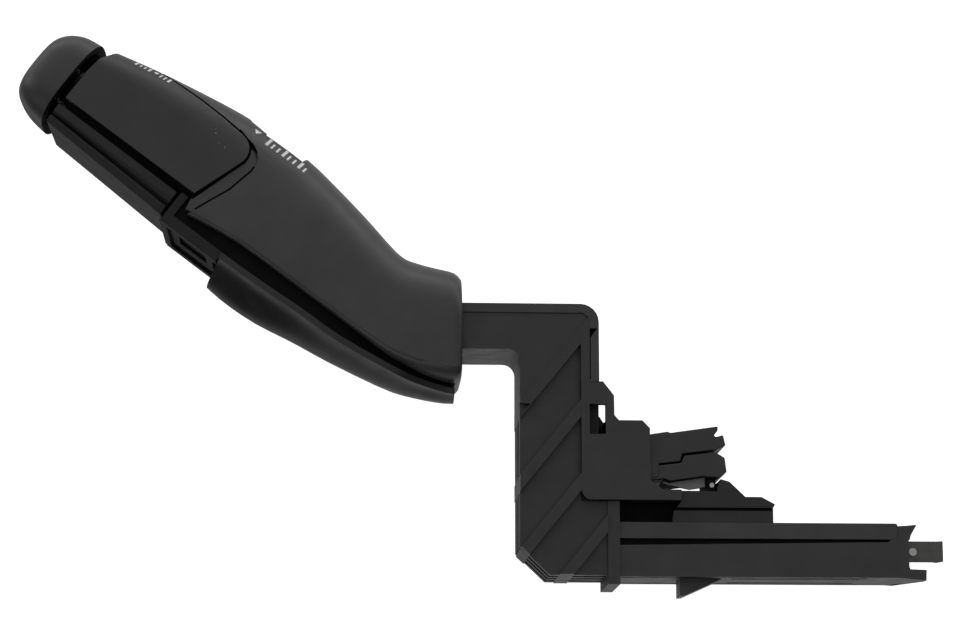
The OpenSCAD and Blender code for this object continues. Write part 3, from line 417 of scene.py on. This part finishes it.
def ledge_groove():
    """Rings of the cutter, which follows the ledge's foot at the height of the shell's surface."""
    shell = world_tree([nodes["front_shell"]])
    rings = []
    for s, t in LEDGE_FOOT:
        hit = shell.ray_cast(on_handle(s - PROBE_IN, t, CLEAR), DOWN)[0]
        if not hit:
            continue
        low, high = hit.z / MM - GROOVE_DEPTH, hit.z / MM + GROOVE_OVER
        corners = ((0.0, low), (0.0, high), (-GROOVE_W, high), (-GROOVE_W, low))
        rings.append([on_handle(s + d, t - GROOVE_SLANT * d, h) for d, h in corners])
    return rings


dress("arm_body", cuts=[flat(RIB_END, ARM_FACE - PANEL_DROP, PROUD)])
dress("duct_cover", cuts=[flat(outline, ARM_FACE - SLOT_DEPTH, PROUD) for outline in (SLOT, SEAM_HEAD)])
dress("mount_housing", HOUSING_EDGE)
for node in ("upper_fork", "lower_fork", "rail_cover"):
    dress(node)
dress("terminal_block", look="block")
dress("rail_body", reshape=thin_tabs)
dress("near_key", reshape=trim_key)
dress("far_key", reshape=trim_key)
dress("front_shell", cuts=[ledge_groove()])
dress("rear_shell", SOFT_EDGE)
for node in ("end_button", "selector_roller", "inner_frame"):
    dress(node)
dress("fork_contact", FINE_EDGE)
dress("contact_blade", FINE_EDGE, reshape=raised_tip)

# Back rocker: flat side walls, a dark neck that slopes in under a sharp ridge, and the back plate. The ridge and the
# back go from the first place to the second along the rocker.
ROCKER_S, ROCKER_LEN, ROCKER_STEPS = 9.2, 28.8, 6
ROCKER_HALF, ROCKER_FRONT = 10.3, -5.45
RIDGE_T, BACK_T = (-8.1, -8.9), (-9.55, -10.75)
HOLLOW_HALF, HOLLOW_T = 8.0, -7.9


def rocker_ring(f):
    """The rocker's section at a share f of its length, with a hollow for the frame behind it."""
    ridge, back = between(*RIDGE_T, f), between(*BACK_T, f)
    side = [
        (ROCKER_HALF, ROCKER_FRONT), (ROCKER_HALF, -7.05), (ROCKER_HALF - 0.35, -7.35),
        (ROCKER_HALF - 1.4, ridge + 0.1), (ROCKER_HALF - 0.3, ridge - 0.05), (ROCKER_HALF - 0.35, ridge - 0.45),
        (ROCKER_HALF - 0.8, back + 0.25), (ROCKER_HALF - 1.2, back),
    ]
    inner = [(HOLLOW_HALF, ROCKER_FRONT), (HOLLOW_HALF, HOLLOW_T)]
    loop = side + [(-z, t) for z, t in reversed(side)] + [(-z, t) for z, t in inner] + inner[::-1]
    return [on_handle(ROCKER_S + ROCKER_LEN * f, t, z) for z, t in loop]


rocker_rings = [rocker_ring(i / ROCKER_STEPS) for i in range(ROCKER_STEPS + 1)]
rocker = prism("form_rear_rocker", rocker_rings, "rear_rocker", "key_satin", FINE_EDGE)
rocker.data.materials[0] = finish["rocker"]
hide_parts("rear_rocker")

# Fork boss beside the housing, the hook in its window, a pale pad under the fork that paints the floor's reflection
# on the fork's underside, and the rail cover's corner: outline, low and high in millimetres
BOSS = [(4.9, 17.4), (6.95, 17.45), (7.0, 14.0), (6.75, 13.35), (6.2, 13.1), (4.9, 12.9)]
HOOK = [(-4.7, 25.9), (-3.9, 25.6), (-3.3, 24.6), (-2.6, 24.4), (-2.6, 21.0), (-4.7, 21.0)]
REFLECTION_PAD = [(7.9, 12.3), (8.6, 14.4), (15.9, 15.4), (16.1, 11.7), (13.1, 11.25)]
CORNER = [(51.5, 1.1), (52.75, 1.1), (52.75, 2.95), (51.5, 2.95)]
prism("fork_boss", flat(BOSS, 6.6, 7.32), "mount_housing", "arm_plastic", BOSS_EDGE)
prism("window_hook", flat(HOOK, -2.0, 2.0), "mount_housing", "arm_plastic", FINE_EDGE)
prism("fork_tongue", flat(REFLECTION_PAD, 3.6, 4.6), "lower_fork", "painted_reflection", FINE_EDGE)
prism("cover_corner", flat(CORNER, 5.5, 7.55), "rail_body", "rail_plastic", FINE_EDGE)

# Back wall of the inner frame in the window behind the rocker, with its long slot and what closes the slot, a
# backing that is painted with deep shade all over
WALL_S, WALL_T, WALL_Z = (40.4, 50.6), (-11.2, -10.8), (-8.6, 8.6)
SLOT_S, SLOT_Z = (42.3, 48.9), (-3.4, 4.2)
BACKING_T = (-10.6, -10.2)
WINDOW = {
    "window_top": (WALL_S, WALL_T, (SLOT_Z[1], WALL_Z[1])),
    "window_bottom": (WALL_S, WALL_T, (WALL_Z[0], SLOT_Z[0])),
    "window_left": ((WALL_S[0], SLOT_S[0]), WALL_T, SLOT_Z),
    "window_right": ((SLOT_S[1], WALL_S[1]), WALL_T, SLOT_Z),
    "window_back": (WALL_S, BACKING_T, WALL_Z),
}
for name, size in WINDOW.items():
    prism(name, handle_block(*size), "inner_frame", "inner_plastic", FINE_EDGE)

for node, ob in nodes.items():
    ob.data.materials.clear()
    ob.data.materials.append(finish[slot_of[node]])

# ---------------------------------------------------------------- printed marks

PRINT_LIFT, SCUFF_LIFT = 0.00003, 0.00002
TICK_ROWS, DOT_ROWS = 4, 10
# A dot's rows are this much wider on either side, so that its end rows aren't points
DOT_END = 0.001


def printed(name, node, shapes, project, slot="print", lift=PRINT_LIFT):
    """Flat prints laid on a node: each shape is a grid of places, sent onto the surface by project."""
    surface = world_tree([nodes[node]])
    bm = bmesh.new()
    for grid in shapes:
        rows = []
        for row in grid:
            hits = [surface.ray_cast(*project(*place))[:2] for place in row]
            rows.append([bm.verts.new(hit + normal * lift) for hit, normal in hits if hit])
        for a, b in zip(rows, rows[1:]):
            for i in range(min(len(a), len(b)) - 1):
                bm.faces.new((a[i], a[i + 1], b[i + 1], b[i]))
    piece = piece_from(bm, name, slot)
    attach(piece, nodes[node]["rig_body"])


def from_driver(s, z):
    return on_handle(s, CLEAR, z), Vector((-ACROSS.x, -ACROSS.y, 0))


def from_side(s, t):
    return on_handle(s, t, CLEAR), DOWN


def tick(s, width, low, high):
    places = [between(low, high, j / TICK_ROWS) for j in range(TICK_ROWS + 1)]
    return [[(s, z), (s + width, z)] for z in places]


def dot(s, z, r):
    grid = []
    for j in range(DOT_ROWS + 1):
        a = math.pi * (j / DOT_ROWS - 0.5)
        half = r * math.cos(a) + DOT_END
        grid.append([(s - half, z + r * math.sin(a)), (s + half, z + r * math.sin(a))])
    return grid


KEY_MARKS = [
    tick(15.2, 0.45, 6.6, 8.3), tick(16.3, 0.3, 7.2, 8.3), tick(17.2, 0.3, 7.2, 8.4), tick(18.1, 0.45, 6.8, 8.5),
    dot(19.7, 7.8, 0.42), tick(20.7, 0.3, 7.4, 8.7), tick(21.6, 0.3, 7.5, 8.8), tick(22.5, 0.45, 7.1, 8.9),
]
printed("key_marks", "near_key", KEY_MARKS, from_driver)

# A scale whose first and every third tick is wider and longer, beside its index triangle
SCALE_AT, SCALE_PITCH, SCALE_TICKS, SCALE_EDGE = 45.4, 1.28, 8, 9.9
WIDE_TICK, PLAIN_TICK = (0.62, 8.2), (0.42, 8.8)
INDEX = [[(42.6, 9.2), (42.62, 9.2)], [(42.2, 8.7), (43.0, 8.7)], [(41.8, 8.2), (43.4, 8.2)]]
SHELL_MARKS = [
    tick(SCALE_AT + SCALE_PITCH * i, *(PLAIN_TICK if i % 3 else WIDE_TICK), SCALE_EDGE) for i in range(SCALE_TICKS)
]
printed("shell_marks", "front_shell", SHELL_MARKS + [INDEX], from_driver)

SCUFFS = [
    dot(36.9, 8.1, 0.16), dot(36.3, 8.7, 0.09), dot(38.6, 6.9, 0.1),
    [[(39.9, 7.1), (40.0, 7.1)], [(40.1, 6.5), (40.2, 6.5)]],
]
printed("key_scuffs", "near_key", SCUFFS, from_side, "scuff", SCUFF_LIFT)

# ---------------------------------------------------------------- painted shade in the recesses

GOLDEN_ANGLE = 2.399963
RAY_COUNT = 24
# How far a ray looks for what shades a face, and how far off the face it starts, in metres
REACH, OFF_FACE = 0.011, 0.00005
# A piece's material slots: its own finish, the painted low shade and the painted deep shade
MAIN, LOW, DEEP = 0, 1, 2
# The share of free rays under which a face is painted with the low and with the deep shade
PLAIN_SHADE = (0.3, 0.27)
# window_hook is painted with the low shade and window_back with the deep shade all over; the lower fork and the
# reflection pad are never painted with shade, and the mount housing hardly ever with the deep one
SHADE = {
    "form_rear_shell": (0.62, 0.6), "form_front_shell": (0.5, 0.48), "form_inner_frame": (0.62, 0.6),
    "form_terminal_block": (0.55, 0.5), "form_rail_body": (0.55, 0.5), "form_near_key": (0.5, 0.45),
    "form_far_key": (0.5, 0.45), "form_end_button": (0.5, 0.4), "form_duct_cover": (0.45, 0.42),
    "form_lower_fork": (0.0, 0.0), "form_mount_housing": (0.3, 0.0), "fork_tongue": (0.0, 0.0),
    "window_hook": (1.0, 0.0), "window_back": (1.0, 1.0),
}
# The end button's faces that look back at the handle are painted with the deep shade whatever their share
LOOKS_BACK = 0.5


def dome(count):
    """Directions over a half sphere, closer together towards its pole."""
    rays = []
    for i in range(count):
        a, r = i * GOLDEN_ANGLE, math.sqrt((i + 0.5) / count)
        rays.append(Vector((r * math.cos(a), r * math.sin(a), math.sqrt(1 - r * r))))
    return rays


RAYS = dome(RAY_COUNT)


def openness(tree, point, normal):
    """The share of rays from a point that meet nothing."""
    side = normal.orthogonal().normalized()
    over = normal.cross(side)
    start = point + normal * OFF_FACE
    free = sum(tree.ray_cast(start, side * d.x + over * d.y + normal * d.z, REACH)[0] is None for d in RAYS)
    return free / len(RAYS)


def shade(piece, tree):
    """Paints shade by how open each face is: a face keeps its own finish or takes the painted low or the painted
    deep shade.
    """
    mesh = piece.data
    mesh.materials.append(finish["low"])
    mesh.materials.append(finish["deep"])
    mesh.calc_loop_triangles()
    total, free = [0.0] * len(mesh.polygons), [0.0] * len(mesh.polygons)
    for tri in mesh.loop_triangles:
        area = tri.area + 1e-12
        total[tri.polygon_index] += area
        free[tri.polygon_index] += area * openness(tree, tri.center, tri.normal)
    low, deep = SHADE.get(piece.name, PLAIN_SHADE)
    for face in mesh.polygons:
        share = free[face.index] / total[face.index]
        if piece.name == "form_end_button" and face.normal.xy.dot(ALONG) > LOOKS_BACK:
            face.material_index = DEEP
        else:
            face.material_index = MAIN if share > low else LOW if share > deep else DEEP


worn = {p.name for p in dressed}
whole = world_tree(dressed + [ob for n, ob in nodes.items() if "form_" + n not in worn])
for piece in dressed:
    shade(piece, whole)

# ---------------------------------------------------------------- camera, floor and light

# The camera's place and axes in the world, fitted to the photograph's outline
CAMERA_AT = (-0.05413, -0.05870, 0.53658)
right = Vector((0.99872741, 0.0, 0.05043377))
up = Vector((-0.00955052, 0.98190626, 0.18912665))
back = right.cross(up)
cam_data = bpy.data.cameras.new("photo_camera")
cam_data.lens = 105.0
cam_data.sensor_width = 36.0
cam_data.clip_start = 0.01
cam_data.clip_end = 20.0
cam = bpy.data.objects.new("photo_camera", cam_data)
scene.collection.objects.link(cam)
cam.matrix_world = Matrix.Translation(CAMERA_AT) @ Matrix((right, up, back)).transposed().to_4x4()
scene.camera = cam

# White paper that glows a little, so that it stays white, and doesn't show in the part's gloss
FLOOR_GAP = 0.00005
FLOOR_HALF = 3.0
floor_z = cad_bounds[0][2] - FLOOR_GAP
bm = bmesh.new()
bmesh.ops.create_grid(bm, x_segments=1, y_segments=1, size=FLOOR_HALF)
floor_mesh = bpy.data.meshes.new("floor")
bm.to_mesh(floor_mesh)
bm.free()
floor = bpy.data.objects.new("floor", floor_mesh)
floor.location = (0, 0, floor_z)
scene.collection.objects.link(floor)
floor.visible_glossy = False
paper = Shader("white_floor")
paper.color(paper.mix(paper.span(paper.noise(0.05), 0, 1), grey(0.5), grey(0.53)))
paper.bsdf.inputs["Roughness"].default_value = 0.9
paper.bsdf.inputs["Emission Color"].default_value = (1, 1, 1, 1)
paper.bsdf.inputs["Emission Strength"].default_value = 0.95
floor_mesh.materials.append(paper.done())

# The middle of the part, which the lights face
LIGHT_AIM = Vector((-0.02, 0.03, 0))


def area_light(name, place, size, radiance):
    """A soft box of a given brightness, which its size turns into watts."""
    data = bpy.data.lights.new(name, "AREA")
    data.shape = "RECTANGLE"
    data.size, data.size_y = size
    data.energy = radiance * math.pi * size[0] * size[1]
    ob = bpy.data.objects.new(name, data)
    ob.location = place
    ob.rotation_euler = (LIGHT_AIM - Vector(place)).to_track_quat("-Z", "Y").to_euler()
    scene.collection.objects.link(ob)


area_light("top_soft", (-0.1, 0.6, 1.5), (2.6, 2.4), 0.47)
area_light("left_soft", (-1.4, 0.4, 0.35), (0.5, 1.2), 1.2)
area_light("front_low", (-0.8, -1.2, 0.5), (1.4, 0.45), 1.1)


def studio_world():
    """Soft surroundings: a glow along the horizon behind the part, dim above, darker under its front.

    Each span maps a component of the direction from start..stop to low..high, and low and high are numbers or
    other spans.
    """
    world = bpy.data.worlds.new("studio")
    world.use_nodes = True
    tree = world.node_tree
    background = tree.nodes["Background"]
    background.inputs["Color"].default_value = (1, 1, 1, 1)
    split = tree.nodes.new("ShaderNodeSeparateXYZ")
    tree.links.new(tree.nodes.new("ShaderNodeTexCoord").outputs["Generated"], split.inputs[0])

    def span(socket, start, stop, low, high):
        node = tree.nodes.new("ShaderNodeMapRange")
        values = (("From Min", start), ("From Max", stop), ("To Min", low), ("To Max", high))
        for label, value in values:
            if isinstance(value, float):
                node.inputs[label].default_value = value
            else:
                tree.links.new(value, node.inputs[label])
        tree.links.new(socket, node.inputs["Value"])
        return node.outputs["Result"]

    x, y, z = split.outputs
    glow = span(y, 0.1, 0.7, 0.3, 2.0)
    above = span(z, 0.0, 0.74, glow, 0.22)
    low_front = span(z, -0.8, -0.62, 0.5, 0.04)
    low = span(y, -0.2, 0.5, low_front, 0.55)
    underneath = span(x, -0.22, -0.15, 0.05, span(y, -0.25, 0.2, 0.5, 0.75))
    below = span(z, -0.96, -0.85, underneath, low)
    tree.links.new(span(z, -0.25, 0.0, below, above), background.inputs["Strength"])
    return world


scene.world = studio_world()
